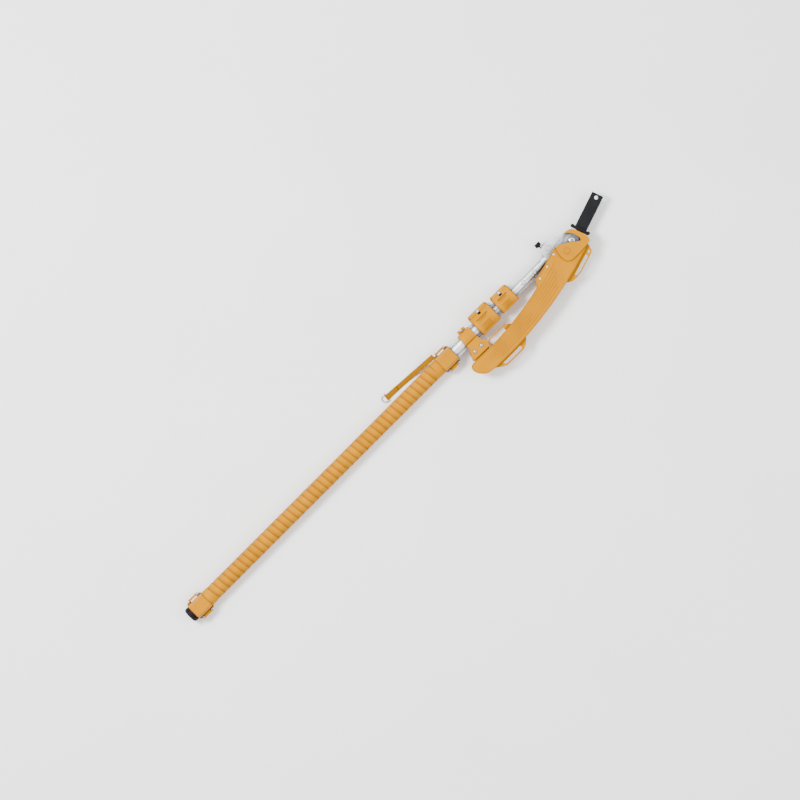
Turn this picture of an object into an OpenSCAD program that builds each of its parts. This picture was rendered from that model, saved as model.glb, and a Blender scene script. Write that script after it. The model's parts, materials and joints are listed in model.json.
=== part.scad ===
// Telescoping pole saw, lying on its side: the pole runs along +X from the foot,
// the folded blade and its sheath lie on the -Y side, and +Z faces away from the ground.
// The origin is the centre of the foot's end face, on the pole's axis.

/* [Pole tubes] */
// Outside diameter of the handle tube
base_d = 32; // [32:0.5:33]
// Outside diameter of the middle tube
mid_d = 28; // [27:0.5:28]
// Outside diameter of the head tube
tip_d = 25; // [24:0.5:25]
// Wall thickness of the middle and head tubes
tube_wall = 1.2; // [1:0.1:1.2]
// Overlap that the tubes keep when they are pulled right out
min_overlap = 120; // [100:5:140]

/* [Handle] */
// Thickness of the wrapped grip
grip_t = 1.75; // [1:0.25:2]
// Length of each grip collar along the pole
collar_len = 40; // [36:1:40]
// Half width of a collar across its wings
collar_wing = 25.8; // [25:0.1:27]
// Width of the tether strap
strap_w = 11; // [10:0.5:11.5]

/* [Saw] */
// Distance from the blade pivot to the blade's point
blade_reach = 330; // [320:1:332]
// Thickness of the blade
blade_t = 1.6; // [1.2:0.1:1.8]
// Distance between the points of two teeth
tooth_pitch = 5; // [4:0.5:8]
// Diameter of the hole in the hang tab
hang_hole_d = 8; // [5:0.5:9]

/* [Hidden] */
$fn = 64;
run_gap = 0.05;      // radial clearance of a running fit
slack = 0.3;         // gap between neighbours that move past each other
// levels above the pole's axis
floor_z = -20.5;     // what the collars stand on
back_z = 13.2;       // rear face of the sheath
back_t = 2.2;
channel_t = 5.2;     // room for the blade between the sheath's two sides
front_t = 3.4;
cap_t = 3;
front_z = back_z + back_t + channel_t;
cap_z = front_z + front_t;
blade_z = back_z + back_t + (channel_t - blade_t) / 2;
// stations along the pole
foot_len = 12.4;
base_end = 886;
mid_travel = 700;
tip_travel = 720;
mid_start = base_end - mid_travel - min_overlap;
mid_end = 943.5;
tip_start = mid_end - tip_travel - min_overlap;
tip_end = 1054;
upper_collar_x = 743.4;
bracket_x = 811;
bracket_len = 31;
lower_lock_x = 853;
lower_lock_len = 52;
upper_lock_x = 915;
upper_lock_len = 45;
// radii
base_r = base_d / 2;
mid_r = mid_d / 2;
tip_r = tip_d / 2;
base_bore_r = mid_r + slack;
mid_bore_r = tip_r + slack;
tip_bore_r = tip_r - tube_wall;
// saw head
pivot = [1123.5, -9];
head_end = [1112, -9];
head_end_r = 25;
head_low = -7;
head_top = back_z - slack;
boss_r = 12;
bolt_r = 4;
plunger_x = 1067;
boss_top = 25.4;
button_at = [1100.5, -17.5];
button_r = 6.6;
rivet_places = [[1019.5, -18.3], [1047.3, -11], [1075.2, -2.8]];
tube_rivets = [990, 1021.5];
// sheath edges: two arcs whose lowest points are the places below
inner_low = [840, -46];
inner_r = 700;
outer_low = [862, -85.5];
outer_r = 840;
// hang tab
tab_at = [1152.5, -5.5];
tab_turn = 18.5;
tab_len = 83;
tab_w = 26;
tab_z = 3;
tab_t = 4;
flange_back = -3.5;
flange_t = 6.4;
tab_start = flange_back + flange_t + 0.1;
// tether strap, in its own frame: s runs from the collar's end to the ring
strap_t = 1.6;
strap_turn = 3.75;
strap_from = [upper_collar_x, 24.4];
strap_route = [[-33, 0], [0, 0], [8, -0.5], [18, -2.8], [30, -7.4], [43, -13],
               [55, -17], [68, -19.1], [82, -19.6], [92, -19.6]];
loop_len = 34;
loop_end = 126;
ring_wire = 1.25;
ring_r = 7.9;
ring_leg = 4;
loop_r = 2.9;
ring_dip = 7.5;

// ---- shared shapes ----

// a cylinder along +X
module rod_x(x0, x1, r) {
    translate([x0, 0, 0]) rotate([0, 90, 0]) cylinder(r = r, h = x1 - x0);
}

module tube_x(x0, x1, r, bore) {
    difference() {
        rod_x(x0, x1, r);
        rod_x(x0 - 1, x1 + 1, bore);
    }
}

// a flat plate whose outline is drawn in the XY plane
module plate(z0, t) {
    translate([0, 0, z0]) linear_extrude(t) children();
}

// a shape drawn in the YZ plane and drawn out along +X
module along_x(x0, len) {
    translate([x0, 0, 0]) rotate([90, 0, 90]) linear_extrude(len) children();
}

// a pan-head screw along Z with its nut at the far end
module through_bolt(at, z_top, z_low, r, head_r, head_h) {
    translate([at[0], at[1], z_low]) cylinder(r = r, h = z_top - z_low);
    translate([at[0], at[1], z_top]) cylinder(r1 = head_r, r2 = head_r * 0.8, h = head_h);
    translate([at[0], at[1], z_low - head_h]) cylinder(r = head_r, h = head_h, $fn = 6);
}

function arc_y(low, r, x) = low[1] + r - sqrt(r * r - (x - low[0]) * (x - low[0]));
function arc_points(low, r, x0, x1, n, inset = 0) = [
    for (i = [0:n])
        let (x = x0 + (x1 - x0) * i / n)
            [x, arc_y([low[0], low[1] - inset], r + inset, x)]
];

// ---- handle ----

module foot() {
    round_r = 5;
    rim = base_r + 0.6;
    color("#1d1b1f") rotate([0, 90, 0]) rotate_extrude() polygon(concat(
        [[0, 0], [rim - round_r, 0]],
        [for (a = [15:15:90]) [rim - round_r + round_r * sin(a), round_r - round_r * cos(a)]],
        [[rim, foot_len], [base_bore_r - 0.2, foot_len], [base_bore_r - 0.2, foot_len + 20],
         [base_bore_r - 3, foot_len + 20], [base_bore_r - 3, foot_len + 4], [0, foot_len + 4]]
    ));
}

module base_tube() {
    color("#c9cacc") tube_x(foot_len, base_end, base_r, base_bore_r);
}

module grip_sleeve() {
    color("#f5a11c")
        tube_x(foot_len + 0.2 + collar_len, upper_collar_x, base_r + grip_t, base_r);
}

function collar_outline(w) = [
    [0, w - 7], [7, w], [collar_len - 7, w], [collar_len, w - 7],
    [collar_len, 7 - w], [collar_len - 7, -w], [7, -w], [0, 7 - w]
];
collar_screw_y = 21.6;
collar_screw_inset = 7;
collar_screw_r = 2;
wing_t = 3;

// one half of a split collar, above the parting plane, starting at x = 0
module collar_half() {
    body_w = base_r + 1.9;
    flat_w = 13;
    slot_len = 17;
    slot_w = 2.8;
    difference() {
        union() {
            plate(0, wing_t) polygon(collar_outline(collar_wing));
            along_x(1.5, collar_len - 3) polygon([
                [-body_w, 0], [-body_w, 11], [-flat_w, -floor_z],
                [flat_w, -floor_z], [body_w, 11], [body_w, 0]
            ]);
            along_x(0, collar_len) polygon([
                [-body_w, 0], [-body_w + 0.8, 10], [-flat_w + 1, -floor_z - 1.4],
                [flat_w - 1, -floor_z - 1.4], [body_w - 0.8, 10], [body_w, 0]
            ]);
        }
        rod_x(-1, collar_len + 1, base_r);
        translate([(collar_len - slot_len) / 2, body_w + 0.6, -1]) cube([slot_len, slot_w, 6]);
        for (x = [collar_screw_inset, collar_len - collar_screw_inset], y = [-1, 1])
            translate([x, y * collar_screw_y, -1]) cylinder(r = collar_screw_r, h = 6);
    }
}

module collar_screws(x0) {
    color("#b9babd")
        for (x = [collar_screw_inset, collar_len - collar_screw_inset], y = [-1, 1])
            through_bolt([x0 + x, y * collar_screw_y], wing_t, -wing_t, collar_screw_r, 3.2, 1.8);
}

// where the strap's sewn end lies between the halves of the upper collar
module strap_pocket() {
    strap_frame() translate([-34.2, -strap_w / 2 - 0.2, -strap_t / 2])
        cube([36, strap_w + 0.4, strap_t]);
}

module lower_collar_front() {
    color("#f0a01f") translate([foot_len + 0.2, 0, 0]) collar_half();
}
module lower_collar_back() {
    color("#e8981a") translate([foot_len + 0.2, 0, 0]) mirror([0, 0, 1]) collar_half();
}
module lower_collar_screws() {
    collar_screws(foot_len + 0.2);
}
module upper_collar_front() {
    color("#f0a01f") difference() {
        translate([upper_collar_x, 0, 0]) collar_half();
        strap_pocket();
    }
}
module upper_collar_back() {
    color("#e8981a") difference() {
        translate([upper_collar_x, 0, 0]) mirror([0, 0, 1]) collar_half();
        strap_pocket();
    }
}
module upper_collar_screws() {
    collar_screws(upper_collar_x);
}

// ---- sheath bracket on the handle tube ----

bracket_r = base_r + 2.2;
ear_y = 21.5;
plate_low_y = -43.6;
cradle_holes = [[816, -30.7], [835, -30.7]];
lip_t = 2.4;
tongue_top_y = -38.2;
channel_mouth_y = plate_low_y - 5;
channel_len = 70;
cradle_top_y = -23.4;

module bracket_outline() {
    polygon([
        [bracket_x, -10], [bracket_x, -20], [800, -38], [798, plate_low_y],
        [845, plate_low_y], [846.5, -37], [851, -31], [842, -19], [842, -10]
    ]);
}

module sheath_bracket() {
    color("#ef9f1e") difference() {
        union() {
            along_x(bracket_x, bracket_len) intersection() {
                circle(r = bracket_r);
                translate([-50, 0]) square([100, 50]);
            }
            translate([bracket_x + 6, base_r, 0]) cube([bracket_len - 12, 9, 4]);
            translate([bracket_x + 6, -base_r - 9, 0]) cube([bracket_len - 12, 9, 4]);
            plate(back_z - 3, back_t + lip_t + 3.2) bracket_outline();
        }
        rod_x(bracket_x - 20, bracket_x + bracket_len + 20, base_r);
        // the channel in which the sheath's tongue slides
        translate([790, channel_mouth_y, back_z - slack])
            cube([channel_len, tongue_top_y - channel_mouth_y + slack, back_t + 2 * slack]);
        // the seat of the cradle's rear plate
        translate([790, channel_mouth_y, back_z - 5])
            cube([channel_len, cradle_top_y - channel_mouth_y, 5 - slack]);
        for (p = cradle_holes) translate([p[0], p[1], 0]) cylinder(r = 2, h = 40);
        for (y = [-1, 1]) translate([bracket_x + bracket_len / 2, y * ear_y, -1])
            cylinder(r = 2, h = 6);
    }
}

module bracket_band() {
    color("#e8981a") difference() {
        union() {
            along_x(bracket_x, bracket_len) intersection() {
                circle(r = bracket_r);
                translate([-50, -50]) square([100, 50]);
            }
            for (y = [base_r, -base_r - 9])
                translate([bracket_x + 6, y, -4]) cube([bracket_len - 12, 9, 4]);
        }
        rod_x(bracket_x - 20, bracket_x + bracket_len + 20, base_r);
        for (y = [-1, 1]) translate([bracket_x + bracket_len / 2, y * ear_y, -6])
            cylinder(r = 2, h = 8);
    }
}

module bracket_screws() {
    color("#8d8e91") for (y = [-1, 1])
        through_bolt([bracket_x + bracket_len / 2, y * ear_y], 4, -4, 2, 3.2, 2);
}

module cradle_back() {
    color("#e8981a") difference() {
        plate(back_z - slack - lip_t, lip_t) polygon([
            [bracket_x - 6, -25], [798, plate_low_y], [845, plate_low_y], [846, -25]
        ]);
        for (p = cradle_holes) translate([p[0], p[1], 0]) cylinder(r = 2, h = 40);
    }
}

module cradle_screws() {
    color("#8d8e91") for (p = cradle_holes)
        through_bolt(p, back_z + back_t + lip_t + 0.2, back_z - slack - lip_t, 2, 3.1, 1.6);
}

// ---- lever locks ----

// values of one lock: [x, length, radius of the held tube, radius of the sliding tube, wall,
// far side of the ears, height of the lever pin]
lower_lock = [lower_lock_x, lower_lock_len, base_r, mid_r, 4, 31, 13.5];
upper_lock = [upper_lock_x, upper_lock_len, mid_r, tip_r, 3.4, 27, 12.5];
lever_t = 3.6;
lever_pin_r = 2;
hub_r = 5.6;
bolt_hub_w = 7;
eye_r = 4.4;
draw_r = 2.5;
ear_low = -12;

function lock_y(l) = l[5] - hub_r - 0.6;
function lock_mid(l) = l[0] + l[1] / 2;
function lock_out_r(l) = l[2] + l[4];
function lock_ear_top(l) = l[6] - hub_r - 0.5;
function held_end(l) = l[0] + l[1] * 0.635;

module lock_body(l, low) {
    r = lock_out_r(l);
    cut = 5;
    color("#f0a01f") difference() {
        union() {
            rod_x(l[0], l[0] + l[1], r);
            translate([l[0] + 1, -r * 0.66, low]) cube([l[1] - 2, r * 1.32, -low]);
            translate([0, 0, ear_low]) linear_extrude(lock_ear_top(l) - ear_low) polygon([
                [l[0], 0], [l[0], l[5] - cut], [l[0] + 2.5, l[5]],
                [l[0] + l[1] - 2.5, l[5]], [l[0] + l[1], l[5] - cut], [l[0] + l[1], 0]
            ]);
        }
        rod_x(l[0] - 1, held_end(l), l[2]);
        rod_x(l[0] - 1, l[0] + l[1] + 1, l[3] + run_gap);
        translate([l[0] - 1, l[3] - 2, -1]) cube([l[1] + 2, 40, 2]);
        translate([lock_mid(l), lock_y(l), ear_low - 1]) cylinder(r = draw_r + 0.2, h = 60);
    }
}

module lever_pin(l) {
    color("#9a9b9e") translate([0, lock_y(l), l[6]])
        rod_x(l[0] + 3.5, l[0] + l[1] - 3.5, lever_pin_r);
}

module draw_bolt(l) {
    color("#9a9b9e") difference() {
        union() {
            translate([lock_mid(l), lock_y(l), ear_low - 7]) cylinder(r = draw_r, h = l[6] - ear_low + 6);
            translate([0, lock_y(l), l[6]])
                rod_x(lock_mid(l) - bolt_hub_w / 2 + slack, lock_mid(l) + bolt_hub_w / 2 - slack, eye_r);
        }
        translate([0, lock_y(l), l[6]]) rod_x(l[0], l[0] + l[1], lever_pin_r);
    }
}

module lock_nut(l) {
    color("#8d8e91") translate([lock_mid(l), lock_y(l), ear_low - 5]) difference() {
        cylinder(r = 5.4, h = 5, $fn = 6);
        translate([0, 0, -1]) cylinder(r = draw_r, h = 7);
    }
}

// lever: a curved plate over the front of the lock, with two hubs on the pin
module lock_lever(l) {
    in_r = lock_out_r(l) + 0.6;
    out_r = in_r + lever_t;
    free_y = -lock_out_r(l);
    inset = 1.5;
    x0 = l[0] + inset;
    len = l[1] - 2 * inset;
    color("#f3a41f") difference() {
        union() {
            along_x(x0, len) difference() {
                intersection() {
                    circle(r = out_r);
                    translate([free_y, 9]) square([lock_y(l) - free_y, 60]);
                }
                circle(r = in_r);
            }
            translate([0, lock_y(l), l[6]]) rod_x(x0 + 2.5, x0 + len - 2.5, hub_r);
            along_x(x0, len) intersection() {
                difference() {
                    translate([6, l[6] + 0.5]) square([lock_y(l) - 6, out_r - l[6] - 3]);
                    circle(r = in_r);
                }
                circle(r = out_r + 5.5);
            }
        }
        translate([0, lock_y(l), l[6]]) rod_x(l[0], l[0] + l[1], lever_pin_r + run_gap);
        translate([lock_mid(l) - bolt_hub_w / 2, lock_y(l) - hub_r - 0.8, l[6] - 10])
            cube([bolt_hub_w, 20, 30]);
        // two shallow grip panels
        for (p = [[0.17, 0.74], [-0.62, -0.05]]) along_x(x0 + len * 0.18, len * 0.6) intersection() {
            difference() {
                circle(r = out_r + 1);
                circle(r = out_r - 0.7);
            }
            translate([p[0] * out_r, 0]) square([(p[1] - p[0]) * out_r, 60]);
        }
    }
}

module lower_lock_body() { lock_body(lower_lock, floor_z); }
module lower_lever_pin() { lever_pin(lower_lock); }
module lower_draw_bolt() { draw_bolt(lower_lock); }
module lower_lock_nut() { lock_nut(lower_lock); }
module lower_lever() { lock_lever(lower_lock); }
module upper_lock_body() { lock_body(upper_lock, -lock_out_r(upper_lock) - 0.4); }
module upper_lever_pin() { lever_pin(upper_lock); }
module upper_draw_bolt() { draw_bolt(upper_lock); }
module upper_lock_nut() { lock_nut(upper_lock); }
module upper_lever() { lock_lever(upper_lock); }

// ---- sliding tubes ----

module guide_bush(x0, r, plug_r) {
    rim = 8;
    difference() {
        union() {
            rod_x(x0 - rim, x0, r);
            rod_x(x0 - rim, x0 + 12, plug_r);
        }
        rod_x(x0 - rim - 1, x0 + 13, plug_r - 2.5);
    }
}

module mid_tube() {
    color("#d5d6d8") tube_x(mid_start, mid_end, mid_r, mid_bore_r);
}
module mid_guide_bush() {
    color("#3a3a3e") guide_bush(mid_start, base_bore_r - run_gap, mid_bore_r);
}
module tip_guide_bush() {
    color("#3a3a3e") guide_bush(tip_start, mid_bore_r - run_gap, tip_bore_r);
}

// everything on the head side of the slanted joint between head tube and casting
module head_side() {
    translate([tip_end, 0, 0]) rotate([0, 0, 36]) translate([0, -100, -100]) cube([300, 200, 200]);
}

module tip_tube() {
    color("#dcdddf") difference() {
        tube_x(tip_start, tip_end + 20, tip_r, tip_bore_r);
        head_side();
        for (x = tube_rivets) {
            translate([x, 0, -20]) cylinder(r = 2.5, h = 40);
            for (s = [0, 1]) mirror([0, 0, s]) translate([x, 0, tip_r - 0.5]) cylinder(r = 4.8, h = 5);
        }
    }
}

// ---- saw head ----

socket_r = 9;
socket_end = 1086;

module head_spigot() {
    color("#aeb0b3") difference() {
        union() {
            difference() {
                rod_x(966, tip_end + 20, tip_bore_r);
                head_side();
            }
            rod_x(1030, socket_end, socket_r);
        }
        for (x = tube_rivets) translate([x, 0, -20]) cylinder(r = 2.5, h = 40);
        translate([plunger_x, 5, 0]) rotate([-90, 0, 0]) cylinder(r = 1.4, h = 20);
    }
}

module head_rivets() {
    color("#c5c6c9") for (x = tube_rivets) {
        translate([x, 0, -tip_r]) cylinder(r = 2.5, h = tip_d);
        for (s = [0, 1]) mirror([0, 0, s]) translate([x, 0, tip_r - 0.5])
            cylinder(r1 = 4.8, r2 = 3.8, h = 1.9);
    }
}

module head_outline() {
    difference() {
        union() {
            polygon([
                [1059, 21.5], [1063, 24.6], [1076, 25.2], [1092, 22.4], [1108, 18.8], [1120, 14.7],
                [1128, -25], [1104, -32.5], [1086, -27], [1062, -12], [1059, 0]
            ]);
            translate(head_end) circle(r = head_end_r);
        }
        polygon([[1121, 14.6], [1130, 14.6], [1145, 0], [1145, 30], [1118, 30]]);
    }
}

plunger_bore_r = 2.9;

module saw_head() {
    color("#d9dadc") difference() {
        union() {
            intersection() {
                rod_x(tip_end - 20, socket_end + 4, tip_r);
                head_side();
            }
            plate(head_low, head_top - head_low) head_outline();
            translate([pivot[0], pivot[1], head_low]) cylinder(r = boss_r, h = blade_z - 0.2 - head_low);
        }
        rod_x(1030, socket_end, socket_r);
        translate([pivot[0], pivot[1], -40]) cylinder(r = bolt_r, h = 80);
        translate([plunger_x, 0, 0]) rotate([-90, 0, 0]) cylinder(r = 1.4, h = 20);
        translate([plunger_x, 11.5, 0]) rotate([-90, 0, 0]) cylinder(r = plunger_bore_r, h = 40);
    }
}

module pivot_bolt() {
    color("#b4b5b8") translate([pivot[0], pivot[1], 0]) {
        translate([0, 0, head_low - 8]) cylinder(r = bolt_r, h = blade_z + blade_t + 1.3 - head_low + 8);
        translate([0, 0, blade_z + blade_t + 1.3]) cylinder(r1 = 7.3, r2 = 6, h = 3.3);
    }
}

module pivot_washer() {
    color("#c9cacc") translate([pivot[0], pivot[1], blade_z + blade_t + 0.1]) difference() {
        cylinder(r = 9, h = 1.2);
        translate([0, 0, -1]) cylinder(r = bolt_r, h = 4);
    }
}

module pivot_nut() {
    color("#8d8e91") translate([pivot[0], pivot[1], head_low - 6.5]) difference() {
        cylinder(r = 7.5, h = 6.5, $fn = 6);
        translate([0, 0, -1]) cylinder(r = bolt_r, h = 9);
    }
}

// ---- plunger that locks the casting on its spigot ----

plunger_rest_y = 11.6;
collar_h = 2;
knob_y = 30.7;
knob_r = 6.8;
knob_h = 8.2;

module plunger_pin() {
    color("#a5a6a9") translate([plunger_x, 0, 0]) rotate([-90, 0, 0]) {
        translate([0, 0, 6]) cylinder(r = 1.3, h = knob_y - 6);
        translate([0, 0, plunger_rest_y]) cylinder(r = 2.8, h = collar_h);
    }
}

module plunger_knob() {
    color("#17161a") translate([plunger_x, knob_y, 0]) rotate([-90, 0, 0]) difference() {
        union() {
            cylinder(r = knob_r, h = knob_h);
            translate([0, 0, -1.6]) cylinder(r = 3.4, h = 1.7);
        }
        for (i = [0:23]) rotate(i * 15) translate([knob_r + 0.2, 0, -1]) cylinder(r = 0.45, h = knob_h + 2);
        translate([0, 0, -2]) cylinder(r = 1.3, h = 2);
    }
}

module plunger_nut() {
    color("#b4b5b8") translate([plunger_x, boss_top - 3, 0]) rotate([-90, 0, 0]) difference() {
        cylinder(r = plunger_bore_r, h = 3);
        translate([0, 0, -1]) cylinder(r = 1.3 + run_gap, h = 5);
    }
}

// the space that a coil spring fills, along +Z
module spring_sleeve(r_out, r_in, h) {
    difference() {
        cylinder(r = r_out, h = h);
        translate([0, 0, -1]) cylinder(r = r_in, h = h + 2);
    }
}

module plunger_spring() {
    color("#9a9b9e") translate([plunger_x, plunger_rest_y + collar_h + 0.1, 0]) rotate([-90, 0, 0])
        spring_sleeve(2.5, 1.8, boss_top - 3 - plunger_rest_y - collar_h - 0.2);
}

// ---- blade ----

blade_inset = 6.5;
tooth_h = 3;
shank_x = 1066;
heel_r = 15;

function saw_edge() = [
    for (i = [0:floor((shank_x - 802) / tooth_pitch)])
        let (x = 802 + i * tooth_pitch, y = arc_y(inner_low, inner_r, x) - blade_inset)
            each [[x - 1, y - tooth_h], [x + tooth_pitch * 0.45, y]]
];

module saw_blade() {
    tip_x = pivot[0] - blade_reach;
    color("#dfe0e2") difference() {
        union() {
            plate(blade_z, blade_t) polygon(concat(
                [[tip_x + 1, -57], [tip_x + 4, -54.5]],
                saw_edge(),
                [[shank_x + 4, -18], pivot + [-6, 14]],
                [pivot + [4, -14.8]],
                [for (i = [0:14]) let (x = 1064 - i * 17.5)
                    [x, arc_y(outer_low, outer_r, x) + 6]],
                [[tip_x + 12, -76], [tip_x + 3, -70], [tip_x, -63]]
            ));
            translate([pivot[0], pivot[1], blade_z]) cylinder(r = heel_r, h = blade_t);
        }
        translate([pivot[0], pivot[1], 0]) cylinder(r = bolt_r + run_gap, h = 60);
        translate([button_at[0], button_at[1], 0]) cylinder(r = 3.6, h = 60);
    }
}

// ---- sheath ----

// outline of the sheath's two sides; it ends under the cap, short of the pivot
module sheath_outline() {
    polygon(concat(
        [[786.5, -49.5], [789, -46.8], [794, -45.3]],
        arc_points(inner_low, inner_r, 800, 998, 16),
        [[1003, -25.5], [1006.5, -20], [1010, -14.6], [1015, -12.2], [1029, -9.9], [1050, -4.6],
         [1071, 1.8], [1081.5, 4.4], [1089, 5], [1096, 1.6], [1109, -5.6], [1119, -12],
         [1130, -20], [1137, -23.6], [1143, -29]],
        [[1143, -38.4]],
        [for (p = arc_points(outer_low, outer_r, 1138, 818, 20)) p],
        [[806, -82], [798, -78.4], [790, -70.5], [786, -62.5], [784.6, -56]]
    ));
}

// room for the blade; it is open along the outer edge, where the blade swings out
module channel_outline() {
    polygon(concat(
        [[791, -55]],
        arc_points(inner_low, inner_r, 796, 986, 12, 4.2),
        [[1000, -33], [1020, -25], [1047, -17], [1075, -9], [1090, -3.5], [1095, 8], [1200, 8],
         [1200, -120], [797, -120], [791, -64]]
    ));
}

// a strap loop: a flat frame that stands out from the edge of the sheath's rear side
module strap_loop(outline, slot) {
    color("#e0951c") difference() {
        plate(back_z, back_t) polygon(outline);
        plate(back_z - 1, back_t + 2) polygon(slot);
        plate(back_z - 1, back_t + 2) sheath_outline();
    }
}

module pole_side_loop() {
    strap_loop(
        [[848.5, -50], [848.5, -36], [853, -32.6], [893, -32.4], [900, -34.6], [909, -40], [912, -46]],
        [[852.5, -49], [852.5, -37.6], [856, -35.6], [891, -35.6], [893, -37.6], [893, -49]]
    );
}

module tail_loop() {
    strap_loop(
        [[816, -82], [825, -86.5], [836, -94.5], [843, -98.4], [857, -99.4], [892, -99.4],
         [902, -94.5], [911, -87], [916, -80]],
        [[841, -89], [844, -94.4], [857, -95.4], [889, -95.4], [892, -93], [892, -88.6]]
    );
}

module head_loop() {
    difference() {
        strap_loop(
            [[1050, -62], [1064, -70.5], [1076, -71.8], [1092, -69.6], [1114, -63], [1135, -56.3],
             [1139, -52.5], [1143, -38], [1120, -40]],
            [[1077.5, -64.2], [1079.5, -68], [1092, -66.4], [1123, -57], [1125, -53], [1123, -50.2]]
        );
        plate(0, 60) polygon([[1129, -49.2], [1136, -47], [1134, -52.6], [1130, -53.6]]);
    }
}

module tongue() {
    polygon([[802, -48], [802, tongue_top_y], [843, tongue_top_y], [843, -48]]);
}

module sheath_back() {
    color("#e0951c") difference() {
        union() {
            plate(back_z, back_t) sheath_outline();
            plate(back_z, back_t) tongue();
        }
        translate([pivot[0], pivot[1], 0]) cylinder(r = boss_r + 0.8, h = 60);
        for (p = rivet_places) translate([p[0], p[1], 0]) cylinder(r = 1.6, h = 60);
    }
}

module sheath_spacer() {
    color("#d88d18") difference() {
        plate(back_z + back_t, channel_t) intersection() {
            difference() {
                sheath_outline();
                channel_outline();
            }
            translate([700, -200]) square([386, 400]);
        }
        for (p = rivet_places) translate([p[0], p[1], 0]) cylinder(r = 1.6, h = 60);
    }
}

module sheath_front() {
    color("#f4a31e") difference() {
        plate(front_z, front_t) sheath_outline();
        for (p = rivet_places) translate([p[0], p[1], 0]) cylinder(r = 1.6, h = 60);
        translate([pivot[0], pivot[1], 0]) cylinder(r = 9.8, h = 60);
        translate([button_at[0], button_at[1], 0]) cylinder(r = 2.8, h = 60);
        translate([button_at[0], button_at[1], front_z + 1]) cylinder(r = button_r + run_gap, h = 60);
    }
}

module sheath_rivets() {
    color("#e7b65a") for (p = rivet_places) translate([p[0], p[1], 0]) {
        translate([0, 0, back_z]) cylinder(r = 1.6, h = cap_z - back_z);
        translate([0, 0, cap_z]) cylinder(r1 = 3.2, r2 = 2.2, h = 1.1);
    }
}

// ---- cap over the pivot ----

module cap_outline() {
    polygon([
        [1089, 5.5], [1085.6, -2], [1083.8, -10], [1083, -18.7], [1084.2, -28], [1087, -33],
        [1091.5, -36.4], [1098, -38.2], [1108, -38.6], [1144.5, -37.6], [1149, -35.8], [1152, -31],
        [1152, -23.5], [1149.6, -14], [1146.6, -5.8], [1142.4, 4.7], [1139.5, 9], [1135, 11.6],
        [1128.8, 13.2], [1121.4, 13.6], [1125.5, 10.6], [1129.6, 6.4], [1133.6, 1], [1136.4, -5.2],
        [1138.4, -12], [1138.8, -18], [1137.4, -21], [1134.5, -21.6], [1129.8, -18.5],
        [1119.3, -10.1], [1108.8, -3.4], [1098, 2.6]
    ]);
}

// the part of the cap that joins its front to its rear, clear of the opened blade
module cap_web_outline() {
    polygon([
        [1121.4, 13.6], [1125.5, 10.6], [1129.6, 6.4], [1141.5, 6.4],
        [1139.5, 9], [1135, 11.6], [1128.8, 13.2]
    ]);
}

module cap_rear_outline() {
    difference() {
        polygon([
            [1130, 13], [1135, 11.6], [1139.5, 9], [1142.4, 4.7], [1146.6, -5.8], [1149.6, -14],
            [1152, -23.5], [1152, -31], [1146, -34], [1128, -30], [1120, 0]
        ]);
        translate(head_end) circle(r = head_end_r + 0.3);
    }
}

tab_holes = [[-8.2, 4], [-8.2, -4]];

module sheath_cap() {
    color("#f2a01b") difference() {
        union() {
            plate(cap_z, cap_t) cap_outline();
            plate(head_top + 0.1, cap_z - head_top) cap_web_outline();
            plate(-1, head_top + 1.1) cap_rear_outline();
        }
        tab_frame() {
            translate([-12.5, -8, tab_z]) cube([30, 16, tab_t]);
            translate([-3.6, -50, -20]) cube([30, 100, 20 + head_top + 0.2]);
            for (p = tab_holes) translate([p[0], p[1], -20]) cylinder(r = 1.6, h = 40 - 8);
        }
        translate([button_at[0], button_at[1], 0]) cylinder(r = button_r + run_gap, h = 60);
    }
}

// ---- hang tab ----

module tab_frame() {
    translate([tab_at[0], tab_at[1], 0]) rotate([0, 0, tab_turn]) children();
}

module hang_tab() {
    hole_in = 8;
    color("#1b1a1d") tab_frame() difference() {
        union() {
            translate([tab_start, -tab_w / 2, tab_z]) cube([tab_len - tab_start, tab_w, tab_t]);
            translate([-12.4, -7.9, tab_z]) cube([tab_len / 2, 15.8, tab_t]);
        }
        translate([tab_len - hole_in, 0, 0]) cylinder(r = hang_hole_d / 2, h = 20);
        for (p = tab_holes) translate([p[0], p[1], -20]) cylinder(r = 1.6, h = 60);
    }
}

module tab_flange() {
    half = 18.4;
    color("#151417") tab_frame() difference() {
        union() {
            translate([flange_back, -half, -1]) cube([flange_t, 2 * half, head_top + 0.9]);
            for (s = [-1, 1]) translate([flange_back + flange_t / 2 + 0.6, s * half, -1])
                cylinder(r = flange_t / 2 + 0.6, h = head_top + 0.9);
        }
        translate([-10, -7.9, tab_z]) cube([20, 15.8, tab_t]);
    }
}

module tab_screws() {
    color("#8d8e91") tab_frame() for (p = tab_holes) translate([p[0], p[1], 0]) {
        translate([0, 0, -1]) cylinder(r = 1.6, h = 11);
        translate([0, 0, -2.8]) cylinder(r1 = 2.4, r2 = 3, h = 1.8);
    }
}

// ---- release button ----

module lock_button() {
    color("#f6ab2c") translate([button_at[0], button_at[1], 0]) {
        translate([0, 0, blade_z + blade_t + 0.4]) cylinder(r = 2.5, h = 8);
        translate([0, 0, cap_z + 1.1]) cylinder(r = button_r, h = 2.2);
        translate([0, 0, cap_z + 3.3]) cylinder(r1 = button_r, r2 = button_r - 0.9, h = 0.9);
    }
}

module button_spring() {
    color("#9a9b9e") translate([button_at[0], button_at[1], front_z + 1.05])
        spring_sleeve(4.6, 3.8, front_t);
}

// ---- tether strap and its ring ----

// s along the strap away from the collar, t across it
module strap_frame() {
    translate([strap_from[0], strap_from[1], 0]) rotate([0, 0, 180 - strap_turn]) children();
}

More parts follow.
